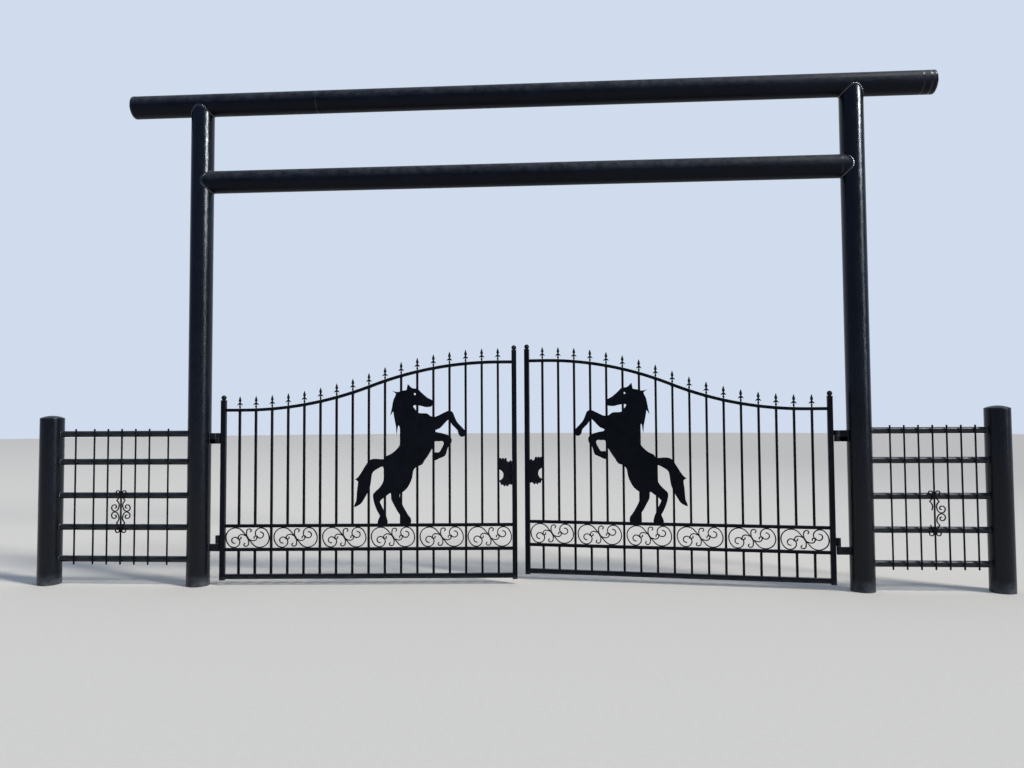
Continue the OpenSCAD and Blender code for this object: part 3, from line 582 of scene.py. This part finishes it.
for side in ("left", "right"):
    bm = bmesh.new()
    welds = bmesh.new()
    washers = bmesh.new()
    for foot, half in (lower_hinge, upper_hinge):
        arm_top = foot + 0.9 * half
        square_bar(bm, (pipe_r - 0.006, -arm_half, foot), (axis_x[side] - 0.004, arm_half, arm_top), edge=0.003)
        if (foot, half) == upper_hinge:  # its arm stands as high as the whole hinge
            arm_top = foot + 2 * half
            square_bar(bm, (pipe_r - 0.007, -arm_half, foot), (axis_x[side] - 0.026, arm_half, arm_top), edge=0.003)
        barrel = tube(bm, barrel_r, foot, foot + half, segments=32)
        bmesh.ops.translate(bm, vec=(axis_x[side], 0, 0), verts=barrel)
        soften(bm, sharp_edges(edges_of(barrel)), width=0.002, steps=2)
        washer = tube(washers, barrel_r - 0.001, foot + half, foot + half + washer_t, segments=32)
        bmesh.ops.translate(washers, vec=(axis_x[side], 0, 0), verts=washer)
        for y in (-arm_half, arm_half):
            path = [(post_face(y), y * 1.04, foot + (arm_top - foot) * i / 40) for i in range(41)]
            lay_bead(welds, path, width=0.009, ripple=0.006, closed=False)
        for z in (foot, arm_top):
            path = [(post_face(y), y, z) for y in (arm_half * i / 8 for i in range(-8, 9))]
            lay_bead(welds, path, width=0.008, ripple=0.006, closed=False)
    fixed = finish(f"hinge_arms_{side}", bm, hinge_paint, at_post[side])
    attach(fixed, "gateway")
    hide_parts(f"{side}_hinge_brackets")
    beads = finish(f"hinge_arm_welds_{side}", welds, weld_paint, at_post[side], sharp=70)
    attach(beads, "gateway")
    rings = finish(f"hinge_washers_{side}", washers, washer_steel, at_post[side])
    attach(rings, "gateway")

    bm = bmesh.new()
    welds = bmesh.new()
    for foot, half in (lower_hinge, upper_hinge):
        low, high = foot + half + washer_t, foot + 2 * half
        barrel = tube(bm, barrel_r, low, high, segments=32)
        bmesh.ops.translate(bm, vec=(-axis_to_stile, 0, 0), verts=barrel)
        soften(bm, sharp_edges(edges_of(barrel)), width=0.003, steps=2)
        square_bar(bm, (-axis_to_stile, -tab_half, low), (-stile_half, tab_half, high))
        for y in (-tab_half, tab_half):
            path = [(-stile_half, y * 1.2, low + (high - low) * i / 24) for i in range(25)]
            lay_bead(welds, path, width=0.005, ripple=0.005, closed=False)
    moving = finish(f"hinge_eyes_{side}", bm, hinge_paint, on_leaf[side])
    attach(moving, f"{side}_leaf")
    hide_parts(f"{side}_hinge_barrels")
    beads = finish(f"hinge_eye_welds_{side}", welds, weld_paint, on_leaf[side], sharp=70)
    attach(beads, f"{side}_leaf")

# Leaf stiles: 48 mm square tube with rolled corners, open at the foot and capped at the top. The leaves meet
# 22 mm left of the middle with 35 mm between them, and the right one is made a little taller.
meeting_gap, off_middle = 0.035, 0.022
stile_foot = 0.05
leaf_w = {}  # from the centre of one stile to the other's
stile_tops = {}  # the place and the height of both
for side, shift, top in (("left", -off_middle, 2.27), ("right", off_middle, 2.298)):
    leaf_w[side] = (post_spacing - meeting_gap) / 2 - stile_half + shift - axis_x[side] - axis_to_stile
    stile_tops[side] = (0, 1.793), (leaf_w[side], top)

# Enamel on drawn square tube: smooth, with long upright brush marks
tube_paint = black_enamel("brushed_black_enamel_on_square_tube", "#03050a", "#090d15", marks=(70, 70, 4), depth=0.0003,
                          sheen=(0.28, 0.46), gloss=0.1, dust_and_top_light=0.16, rust=0.02, splash=0.1)


def square_tube(bm, middle, size, corner):
    """Adds the outside of a square tube, closed at both ends, its long corners rolled round."""
    bmesh.ops.create_cube(bm, size=1, matrix=Matrix.LocRotScale(middle, None, size))
    soften(bm, [e for e in bm.edges if e.calc_length() > 1], corner, steps=4)


for side in ("left", "right"):
    for part, (x, top) in zip(("hinge", "meeting"), stile_tops[side]):
        bm = bmesh.new()
        square_tube(bm, (x, 0, (stile_foot + top) / 2), (2 * stile_half, 2 * stile_half, top - stile_foot), 0.005)
        # The foot is open: its bottom face goes in and up as the inside of the tube
        foot = min(bm.faces, key=lambda f: f.calc_center_median().z)
        bmesh.ops.inset_region(bm, faces=[foot], thickness=0.003)
        bmesh.ops.translate(bm, vec=(0, 0, 0.2), verts=foot.verts)
        post = finish(f"{part}_stile_{side}", bm, tube_paint, on_leaf[side])
        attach(post, f"{side}_leaf")
        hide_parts(f"{side}_{part}_stile")

# Stile caps: a ball on a ringed neck, cast in one with a square plate. The plate is set on the stile's top and
# closes the tube.

# Enamel on a sand casting: pebbled and satin
cast_paint = black_enamel("black_enamel_on_casting", "#05060a", "#0c0f14", marks=(110, 110, 110), depth=0.0004,
                          sheen=(0.26, 0.44), gloss=0.18, dust_and_top_light=0.2, rust=0.04)
ball_r = 0.025
ball_plate, ball_plate_t = stile_half + 0.002, 0.006  # half the width of the square plate, and its thickness
cap_outline = [(0, 0.004), (0.0205, 0.004), (0.0205, 0.0072), (0.0188, 0.0088), (0.0162, 0.0098), (0.015, 0.0108)]
for i in range(13):  # the ball, from its neck to its top
    angle = radians(-53 + 143 * i / 12)
    cap_outline.append((max(0, ball_r * cos(angle)), ball_plate_t + ball_r + ball_r * sin(angle)))
for side in ("left", "right"):
    bm = bmesh.new()
    for x, top in stile_tops[side]:
        ball = bmesh.new()
        spun(ball, cap_outline, segments=32)
        square_bar(ball, (-ball_plate, -ball_plate, 0), (ball_plate, ball_plate, ball_plate_t), edge=0.0015)
        bmesh.ops.translate(ball, vec=(x, 0, top), verts=ball.verts)
        join(bm, ball)
    caps = finish(f"ball_caps_{side}", bm, cast_paint, on_leaf[side])
    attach(caps, f"{side}_leaf")
    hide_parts(f"{side}_stile_caps")

# Top rails: 30 mm square bar, level at both ends and swept up between them in an S of two equal arcs. Each is bent
# in one length and welded between the stiles.
bays = 18
rail_bar = 0.03
level_start, level_end = 1.25, 1  # how many bays lie level at the hinge stile and at the meeting stile
top_rails = {}
for side, low, high in (("left", 1.702, 2.161), ("right", 1.681, 2.186)):
    bay = leaf_w[side] / bays
    half_run = (leaf_w[side] - (level_start + level_end) * bay) / 2
    radius = (half_run ** 2 + ((high - low) / 2) ** 2) / (high - low)
    top_rails[side] = low, high, level_start * bay, half_run, radius


def rail_at(side, u):
    """Height and slope of a top rail's centre line at a distance from the hinge stile."""
    low, high, start, half_run, radius = top_rails[side]
    along = min(max(u - start, 0), 2 * half_run)
    slope = asin(min(along, 2 * half_run - along) / radius)
    return (low + radius * (1 - cos(slope)) if along < half_run else high - radius * (1 - cos(slope))), slope


# Enamel on the leaf's level bars: brushed lengthwise, a line of dust and painted sheen on top
level_paint = black_enamel("black_enamel_on_level_bar", "#030408", "#080a10", marks=(6, 90, 90), depth=0.0003,
                           sheen=(0.32, 0.5), gloss=0.08, dust_and_top_light=0.22, rust=0.03)
for side in ("left", "right"):
    bm = bmesh.new()
    low, _, start, half_run, radius = top_rails[side]
    sweep = degrees(asin(half_run / radius))
    bends = [(start - stile_half, 0), (radius, sweep), (radius, -sweep),
             (level_end * leaf_w[side] / bays - stile_half, 0)]
    bent_bar(bm, rail_bar, (stile_half, low), 0, bends, edge=0.002, step=1)
    rail = finish(f"swept_top_rail_{side}", bm, level_paint, on_leaf[side])
    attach(rail, f"{side}_leaf")
    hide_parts(f"{side}_top_rail")

# Band rails and bottom rail: two level 30 mm bars that frame the scroll band, and a 45 mm square tube below. All
# three are cut square and welded between the stiles.
upper_band, lower_band, bottom_z = 0.573, 0.344, 0.084
bottom_w = 0.045
for side in ("left", "right"):
    bm = bmesh.new()
    for z in (upper_band, lower_band):
        square_bar(bm, (stile_half, -rail_bar / 2, z - rail_bar / 2),
                   (leaf_w[side] - stile_half, rail_bar / 2, z + rail_bar / 2), edge=0.002)
    bands = finish(f"band_rails_{side}_bars", bm, level_paint, on_leaf[side])
    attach(bands, f"{side}_leaf")
    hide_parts(f"{side}_band_rails")

    bm = bmesh.new()
    square_tube(bm, (leaf_w[side] / 2, 0, bottom_z), (leaf_w[side] - 2 * stile_half, bottom_w, bottom_w), 0.004)
    lowest = finish(f"bottom_rail_{side}_tube", bm, tube_paint, on_leaf[side])
    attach(lowest, f"{side}_leaf")
    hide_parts(f"{side}_bottom_rail")

# Pickets: 22 mm square bar, seventeen in each leaf, set between the rails and filleted with weld where they meet.
# Every third one runs on through the scroll band.
picket_half = 0.011
on_bottom = bottom_z + bottom_w / 2
under_lower, on_lower = lower_band - rail_bar / 2, lower_band + rail_bar / 2
under_upper, on_upper = upper_band - rail_bar / 2, upper_band + rail_bar / 2
fillet_reach = 0.004


def picket_bar(bm, u, low, high):
    """Adds one picket's bar, u from the hinge stile."""
    square_bar(bm, (u - picket_half, -picket_half, low), (u + picket_half, picket_half, high))


def fillet(bm, x, z, down, slope=0):
    """Adds the square ring of weld where a picket meets a rail: on the rail, or under it where down is true."""
    ring = bmesh.new()
    bmesh.ops.create_cone(ring, cap_ends=True, segments=4, radius1=(picket_half + fillet_reach) * sqrt(2),
                          radius2=picket_half * sqrt(2) * 1.01, depth=fillet_reach)
    bmesh.ops.subdivide_edges(ring, edges=ring.edges, cuts=1, use_grid_fill=True)
    place = Matrix.Translation((x, 0, z)) @ Matrix.Rotation(-slope, 4, "Y")
    place = place @ Matrix.Diagonal((1, 1, -1 if down else 1, 1))
    place = place @ Matrix.Translation((0, 0, fillet_reach / 2)) @ Matrix.Rotation(pi / 4, 4, "Z")
    bmesh.ops.transform(ring, matrix=place, verts=ring.verts)
    for vert in ring.verts:
        vert.co += Vector((1, 1, 0)) * 0.0012 * noise.noise(vert.co * 170)
    join(bm, ring)


for side in ("left", "right"):
    bm = bmesh.new()
    lower = bmesh.new()
    welds = bmesh.new()
    for i in range(1, bays):
        u = i * leaf_w[side] / bays
        top, slope = rail_at(side, u)
        picket_bar(bm, u, on_upper, top)
        picket_bar(lower, u, on_bottom, under_lower)
        fillet(welds, u + rail_bar / 2 * sin(slope), top - rail_bar / 2 * cos(slope), down=True, slope=slope)
        ends = [(on_upper, False), (under_lower, True), (on_bottom, False)]
        if i % 3 == 0:
            picket_bar(lower, u, on_lower, under_upper)
            ends += [(on_lower, False), (under_upper, True)]
        for z, down in ends:
            fillet(welds, u, z, down)
    bars = finish(f"pickets_{side}_bars", bm, bar_paint, on_leaf[side])
    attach(bars, f"{side}_leaf")
    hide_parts(f"{side}_pickets")
    bars = finish(f"lower_pickets_{side}_bars", lower, bar_paint, on_leaf[side])
    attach(bars, f"{side}_leaf")
    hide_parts(f"{side}_lower_pickets")
    rings = finish(f"picket_welds_{side}", welds, weld_paint, on_leaf[side], sharp=60)
    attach(rings, f"{side}_leaf")

# Finials: small cast spears welded on the top rail over each picket. A beaded foot, a neck with two drooping
# barbs, and a flat leaf-shaped blade.
# All three outlines are in millimetres: (radius, height) for those that are spun, and (x, height) for the barbs.
spear_foot = [(0, -10), (6, -10), (6, 7), (8.6, 11), (10, 18), (8.6, 25), (6, 29), (5.6, 40), (6, 54), (7, 60), (0, 62)]
spear_blade = [(0, 54), (7, 58), (9, 66), (13, 73), (14.5, 80), (12, 90), (9.4, 98), (7, 106), (3.6, 116), (0, 124)]
spear_barb = [(0, 31), (5, 33), (9, 37.5), (15, 38), (21, 34.5), (27, 31), (27, 36), (22, 44), (15, 52), (8, 57),
              (0, 60)]
both_barbs = spear_barb + [(-x, z) for x, z in reversed(spear_barb[1:-1])]
barb_t = 6
for side in ("left", "right"):
    bm = bmesh.new()
    for i in range(1, bays):
        u = i * leaf_w[side] / bays
        top, _ = rail_at(side, u)
        spear = bmesh.new()
        spun(spear, spear_foot, segments=12)
        blade = bmesh.new()
        spun(blade, spear_blade, segments=12)
        bmesh.ops.scale(blade, vec=(1, 0.42, 1), verts=blade.verts)
        join(spear, blade)
        # Both barbs are one flat piece, thick in the middle and eased at its edge
        barbs = bmesh.new()
        face = barbs.faces.new([barbs.verts.new((x, -barb_t / 2, z)) for x, z in both_barbs])
        grown = bmesh.ops.extrude_face_region(barbs, geom=[face])["geom"]
        bmesh.ops.translate(barbs, vec=(0, barb_t, 0), verts=[v for v in grown if isinstance(v, bmesh.types.BMVert)])
        flats = [f for f in barbs.faces if len(f.verts) > 4]
        bmesh.ops.inset_individual(barbs, faces=flats, thickness=2.2, depth=1.6)
        join(spear, barbs)
        place = Matrix.Translation((u, 0, top + rail_bar / 2)) @ Matrix.Scale(0.001, 4)
        bmesh.ops.transform(spear, matrix=place, verts=spear.verts)
        join(bm, spear)
    spears = finish(f"spear_finials_{side}", bm, cast_paint, on_leaf[side], sharp=60)
    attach(spears, f"{side}_leaf")
    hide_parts(f"{side}_finials")

# Scroll band: six panels to a leaf, each of two S scrolls in 10 mm bar about a tied centre. A small boss joins
# the curled arch to its scroll. Each panel is drawn out to fill its bay, and the right leaf's are turned over.
panel_z = (upper_band + lower_band) / 2
drawn_high, drawn_half = 0.194, 0.2065  # a panel's height and half its width, as the bends below draw it
side_room = 0.004  # left between a panel and the uprights beside it
scale = (under_upper - on_lower - scroll_bar - 2 * gap) / drawn_high
big = [(1.2, 3), (0.084, 50), (0.091, 90), (0.124, 40), (0.065, 50), (0.054, 90), (0.047, 90), (0.031, 90),
       (0.029, 100)]
arch = [(0.08, 30), (0.032, 100), (0.013, 170), (0.045, 16)]
curl = [(0.12, -22), (0.024, -105), (0.015, -140)]
motif_bars = (((-0.012, 0.018), 127, big), ((-0.015, 0.017), 145, arch), ((-0.009, 0.022), 100, curl))
boss_outline = [(0, -0.007), (0.006, -0.007), (0.009, -0.005), (0.0097, -0.002), (0.0097, 0.002), (0.009, 0.005),
                (0.006, 0.007), (0, 0.007)]
for side, flip in (("left", 1), ("right", -1)):
    bay = leaf_w[side] / bays
    stretch = ((3 * bay - stile_half - picket_half - scroll_bar) / 2 - side_room) / (drawn_half * scale)
    motif = bmesh.new()
    for half_turn in (0, pi):
        part = bmesh.new()
        for (x, z), heading, bends in motif_bars:
            bent_bar(part, scroll_bar, (x * scale, z * scale), heading, [(r * scale, turn) for r, turn in bends])
        bmesh.ops.scale(part, vec=(stretch, 1, 1), verts=part.verts)
        boss = bmesh.new()
        spun(boss, boss_outline, segments=16)
        place = Matrix.Translation((-0.091 * scale * stretch, 0, -0.009 * scale)) @ Matrix.Rotation(pi / 2, 4, "X")
        bmesh.ops.transform(boss, matrix=place, verts=boss.verts)
        join(part, boss)
        bmesh.ops.rotate(part, matrix=Matrix.Rotation(half_turn, 3, "Y"), verts=part.verts)
        join(motif, part)
    tie = bmesh.new()
    square_bar(tie, (-0.024 * scale, -tie_half, -0.008 * scale), (0.024 * scale, tie_half, 0.008 * scale))
    bmesh.ops.rotate(tie, matrix=Matrix.Rotation(radians(-120), 3, "Y"), verts=tie.verts)
    join(motif, tie)
    bm = bmesh.new()
    for i in range(bays // 3):
        # The first and the last panel stand beside a stile, which is wider than a picket
        off_stile = {0: 1, bays // 3 - 1: -1}.get(i, 0) * (stile_half - picket_half) / 2
        panel = motif.copy()
        place = Matrix.Translation(((3 * i + 1.5) * bay + off_stile, 0, panel_z)) @ Matrix.Diagonal((flip, 1, 1, 1))
        bmesh.ops.transform(panel, matrix=place, verts=panel.verts)
        join(bm, panel)
    motif.free()
    band = finish(f"scroll_band_{side}", bm, scroll_paint, on_leaf[side])
    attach(band, f"{side}_leaf")
    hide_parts(f"{side}_scrolls")

# Horses: a rearing horse cut from 6 mm plate by flame, welded to the front of the pickets over the band.
# The cut edge is slightly rounded by the paint.

# Enamel on flat plate: even, as dark as the bars round it, with the faint mottling of rolled plate
sheet_paint = black_enamel("black_enamel_on_flame_cut_plate", "#020408", "#070a11", marks=(12, 12, 12), depth=0.0006,
                           sheen=(0.34, 0.5), gloss=0.07, dust_and_top_light=0.15, rust=0.02)


def cut_from_plate(node, side, edge):
    """The outline of one of a leaf's plates, merged and with its rim eased."""
    across = on_leaf[side].to_3x3() @ Vector((0, 1, 0))
    bm = bmesh.new()
    bm.from_mesh(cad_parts[node].data)
    bmesh.ops.remove_doubles(bm, verts=bm.verts, dist=1e-5)
    bmesh.ops.dissolve_limit(bm, angle_limit=radians(1), verts=bm.verts, edges=bm.edges)
    rim = [e for e in sharp_edges(bm.edges)
           if len(e.link_faces) == 2 and any(abs(f.normal.dot(across)) > 0.9 for f in e.link_faces)]
    bmesh.ops.bevel(bm, geom=rim, offset=edge, offset_type="OFFSET", segments=1, profile=0.5, affect="EDGES",
                    material=-1)
    return bm


for side in ("left", "right"):
    plate = finish(f"horse_plate_{side}", cut_from_plate(f"{side}_horse", side, edge=0.0008), sheet_paint, sharp=30)
    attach(plate, f"{side}_leaf")
    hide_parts(f"{side}_horse")

# Lock plates: an 8 mm steel plate with a scalloped edge, welded to the side of each meeting stile. The D-shaped
# hole in it is there to take hold of the leaf.

# Enamel on a plate that is handled: smoother and a little brighter than on the horse
lock_paint = black_enamel("handled_black_enamel_on_plate", "#03050a", "#0a0e16", marks=(30, 30, 30), depth=0.0003,
                          sheen=(0.24, 0.42), gloss=0.13, dust_and_top_light=0.12, rust=0.03)
for side in ("left", "right"):
    outline = cut_from_plate(f"{side}_lock_plate", side, edge=0.001)
    plate = finish(f"lock_plate_{side}_scalloped", outline, lock_paint, sharp=30)
    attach(plate, f"{side}_leaf")
    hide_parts(f"{side}_lock_plate")

# Stage: a wide pale floor and a pale surround that turns bluer and dimmer on the camera's side, as a room does.
# A soft high sun from the front right brings out the header's dust, and a tall lamp with a brighter one over it
# draws the upright streaks.
bm = bmesh.new()
bmesh.ops.create_circle(bm, cap_ends=True, segments=64, radius=70)
floor_mesh = bpy.data.meshes.new("floor")
bm.to_mesh(floor_mesh)
bm.free()
floor = put("floor", floor_mesh)

# A pale matt floor, with a faint grain 33 mm across
ground = bpy.data.materials.new("pale_floor")
tree = bare_tree(ground)
spot = add(tree, "TexCoord").outputs["Object"]
grain = add(tree, "TexNoise", {"Vector": spot, "Scale": 30.0, "Detail": 6.0})
shade = add(tree, "Mix", {0: grain.outputs[0], 6: linear("#cac3b6"), 7: linear("#d3ccc0")}, {"data_type": "RGBA"})
matt = add(tree, "BsdfDiffuse", {"Color": shade.outputs[2]})
add(tree, "OutputMaterial", {"Surface": matt.outputs[0]})
floor_mesh.materials.append(ground)

world = bpy.data.worlds.new("pale_surround")
bpy.context.scene.world = world
tree = bare_tree(world)
toward = add(tree, "SeparateXYZ", {0: add(tree, "TexCoord").outputs["Generated"]})
behind = add(tree, "MapRange", {
    "Value": toward.outputs[1], "From Min": -0.1, "From Max": 0.65}, {"interpolation_type": "SMOOTHSTEP"})
sky = add(tree, "Mix", {0: behind.outputs[0], 6: linear("#7189b5"), 7: linear("#d0dced")}, {"data_type": "RGBA"})
light = add(tree, "Background", {"Color": sky.outputs[2], "Strength": 1.0})
add(tree, "OutputWorld", {"Surface": light.outputs[0]})

sun = bpy.data.lights.new("soft_sun", "SUN")
sun.energy = 1.8
sun.angle = radians(8)
sun.color = (1.0, 0.97, 0.93)
put("soft_sun", sun).rotation_euler = (radians(90 - 58), 0, radians(66))  # 58 degrees high

lamp_away = 40  # from the middle of the gateway, 61 degrees round to the right
for name, height, power, z in (("tall_lamp", 15.0, 360, 10.0), ("high_lamp", 5.0, 5600, 20.0)):
    lamp = bpy.data.lights.new(name, "AREA")
    lamp.shape = "RECTANGLE"
    lamp.size, lamp.size_y = 5.0, height
    lamp.spread = radians(70)  # a grid over the lamp keeps its light off the floor beside it
    lamp.energy = power
    lamp.color = (0.88, 0.95, 1.0)
    put(name, lamp).matrix_world = (
        Matrix.Translation((3.2, 0, z)) @ Matrix.Rotation(radians(61), 4, "Z")
        @ Matrix.Translation((0, -lamp_away, 0)) @ Matrix.Rotation(pi / 2, 4, "X"))

# The camera was fitted to the pipes' edges in the photograph: 1.6 m up, turned a little left and up
camera = bpy.data.cameras.new("camera")
camera.sensor_width = 36
camera.lens = 27.04
camera.clip_end = 300
camera_at = put("camera", camera)
camera_at.matrix_world = (Matrix.Translation((3.5525, -7.363, 1.62)) @ Matrix.Rotation(radians(3.67), 4, "Z")
                          @ Matrix.Rotation(radians(92.453), 4, "X") @ Matrix.Rotation(radians(-0.334), 4, "Z"))
bpy.context.scene.camera = camera_at
bpy.context.scene.view_settings.view_transform = "Standard"

bpy.context.view_layer.update()
